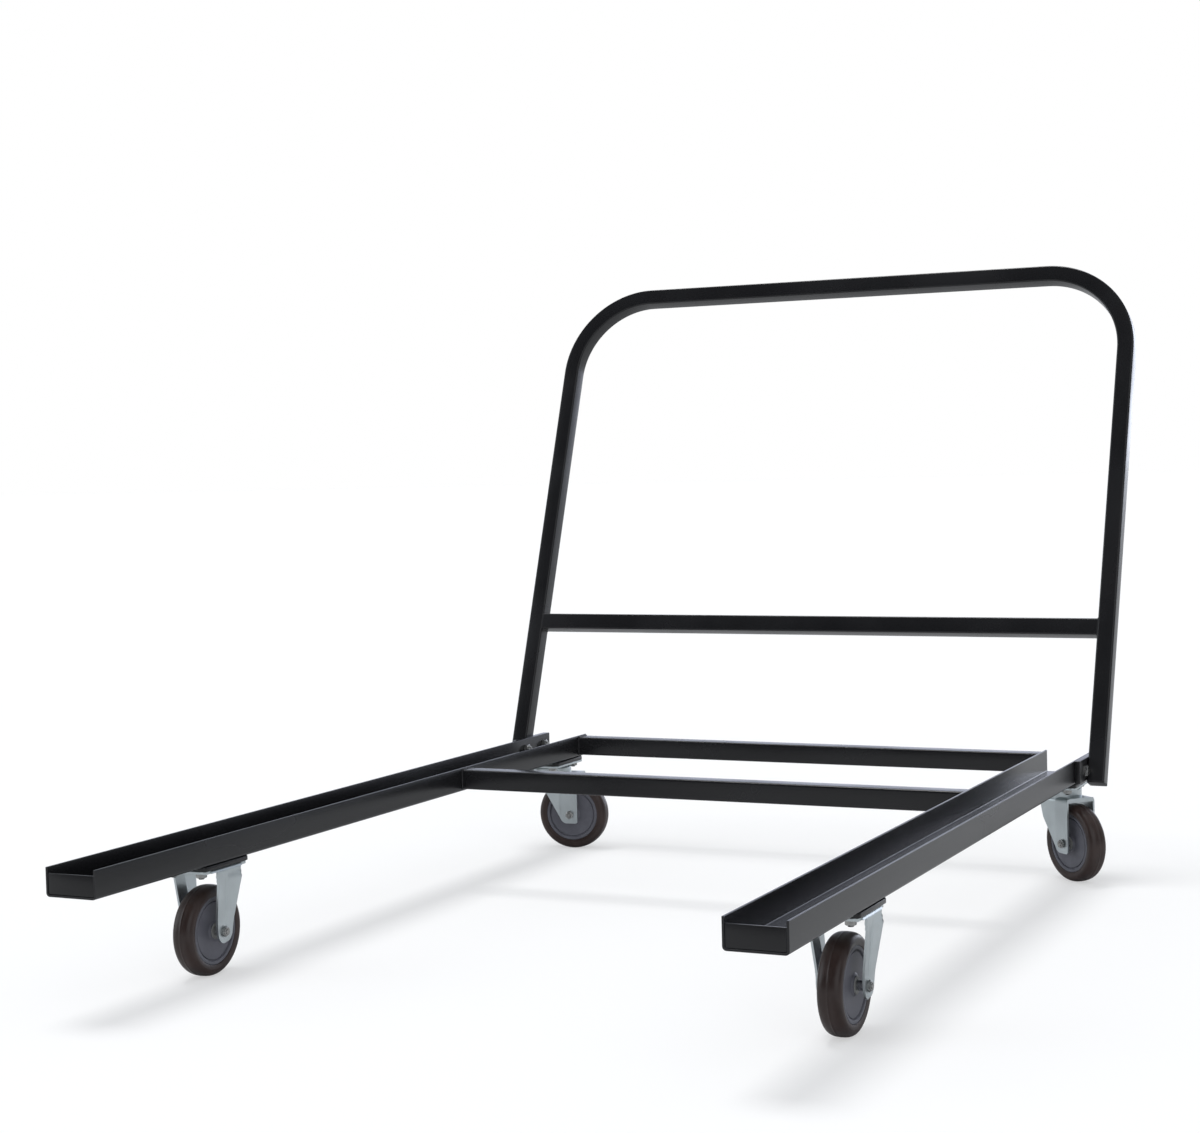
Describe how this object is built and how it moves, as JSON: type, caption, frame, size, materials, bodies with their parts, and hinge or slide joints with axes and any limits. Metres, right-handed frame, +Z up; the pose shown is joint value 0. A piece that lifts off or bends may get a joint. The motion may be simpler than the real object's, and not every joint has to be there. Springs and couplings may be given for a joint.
{
  "type": "hurdle cart",
  "caption": "Track hurdle cart: two open channels on rigid front and swivel rear casters, joined by square cross tubes, with a leaning square-tube push hoop.",
  "frame": {"origin": "on the floor, under the middle of the whole cart's box, with the rear casters parked as stored", "axes": "+Y from the open front ends of the channels to the handle, +X to the right seen from the front ends, +Z up"},
  "size_m": [1.0816, 1.6583, 1.0114],
  "materials": {
    "black_coat": "gloss black powder coat",
    "zinc": "bright zinc plate",
    "steel": "plain steel",
    "tread": "dark brown-grey elastic tread",
    "hub": "grey moulded nylon",
    "bearing": "natural acetal",
    "plug": "black moulded plastic"
  },
  "bodies": {
    "frame": {"left_rail": "black_coat", "left_front_plate": "black_coat", "left_handle_bar": "black_coat", "left_foot_plug": "plug", "left_handle_bolt_front": "zinc", "left_handle_nut_front": "zinc", "left_handle_bolt_rear": "zinc", "left_handle_nut_rear": "zinc", "right_rail": "black_coat", "right_front_plate": "black_coat", "right_handle_bar": "black_coat", "right_foot_plug": "plug", "right_handle_bolt_front": "zinc", "right_handle_nut_front": "zinc", "right_handle_bolt_rear": "zinc", "right_handle_nut_rear": "zinc", "front_cross_tube": "black_coat", "rear_cross_tube": "black_coat", "handle_hoop": "black_coat", "handle_crossbar": "black_coat", "front_left_pad": "black_coat", "front_left_fork": "zinc", "front_left_axle_bolt": "zinc", "front_left_axle_nut": "zinc", "front_left_sleeve": "steel", "front_right_pad": "black_coat", "front_right_fork": "zinc", "front_right_axle_bolt": "zinc", "front_right_axle_nut": "zinc", "front_right_sleeve": "steel", "rear_left_pad": "black_coat", "rear_left_top_plate": "zinc", "rear_left_king_pin": "steel", "rear_left_king_nut": "zinc", "rear_right_pad": "black_coat", "rear_right_top_plate": "zinc", "rear_right_king_pin": "steel", "rear_right_king_nut": "zinc"},
    "front_left_wheel": {"front_left_hub": "hub", "front_left_tyre": "tread", "front_left_bearing": "bearing"},
    "front_right_wheel": {"front_right_hub": "hub", "front_right_tyre": "tread", "front_right_bearing": "bearing"},
    "rear_left_caster": {"rear_left_ball_race": "steel", "rear_left_fork": "zinc", "rear_left_axle_bolt": "zinc", "rear_left_axle_nut": "zinc", "rear_left_sleeve": "steel"},
    "rear_left_wheel": {"rear_left_hub": "hub", "rear_left_tyre": "tread", "rear_left_bearing": "bearing"},
    "rear_right_caster": {"rear_right_ball_race": "steel", "rear_right_fork": "zinc", "rear_right_axle_bolt": "zinc", "rear_right_axle_nut": "zinc", "rear_right_sleeve": "steel"},
    "rear_right_wheel": {"rear_right_hub": "hub", "rear_right_tyre": "tread", "rear_right_bearing": "bearing"}
  },
  "joints": [
    {"name": "front_left_wheel_spin", "type": "hinge", "parent": "frame", "child": "front_left_wheel", "pos_m": [-0.46476, -0.54685, 0.0625], "axis": [1, 0, 0], "continuous": true},
    {"name": "front_right_wheel_spin", "type": "hinge", "parent": "frame", "child": "front_right_wheel", "pos_m": [0.45724, -0.54685, 0.0625], "axis": [1, 0, 0], "continuous": true},
    {"name": "rear_left_swivel", "type": "hinge", "parent": "frame", "child": "rear_left_caster", "pos_m": [-0.46476, 0.50355, 0.1355], "axis": [0, 0, 1], "continuous": true},
    {"name": "rear_left_wheel_spin", "type": "hinge", "parent": "rear_left_caster", "child": "rear_left_wheel", "pos_m": [-0.42437, 0.50931, 0.0625], "axis": [0.1412, -0.99, 0], "continuous": true},
    {"name": "rear_right_swivel", "type": "hinge", "parent": "frame", "child": "rear_right_caster", "pos_m": [0.45724, 0.50355, 0.1355], "axis": [0, 0, 1], "continuous": true},
    {"name": "rear_right_wheel_spin", "type": "hinge", "parent": "rear_right_caster", "child": "rear_right_wheel", "pos_m": [0.4888, 0.47769, 0.0625], "axis": [-0.6339, -0.7734, 0], "continuous": true}
  ]
}
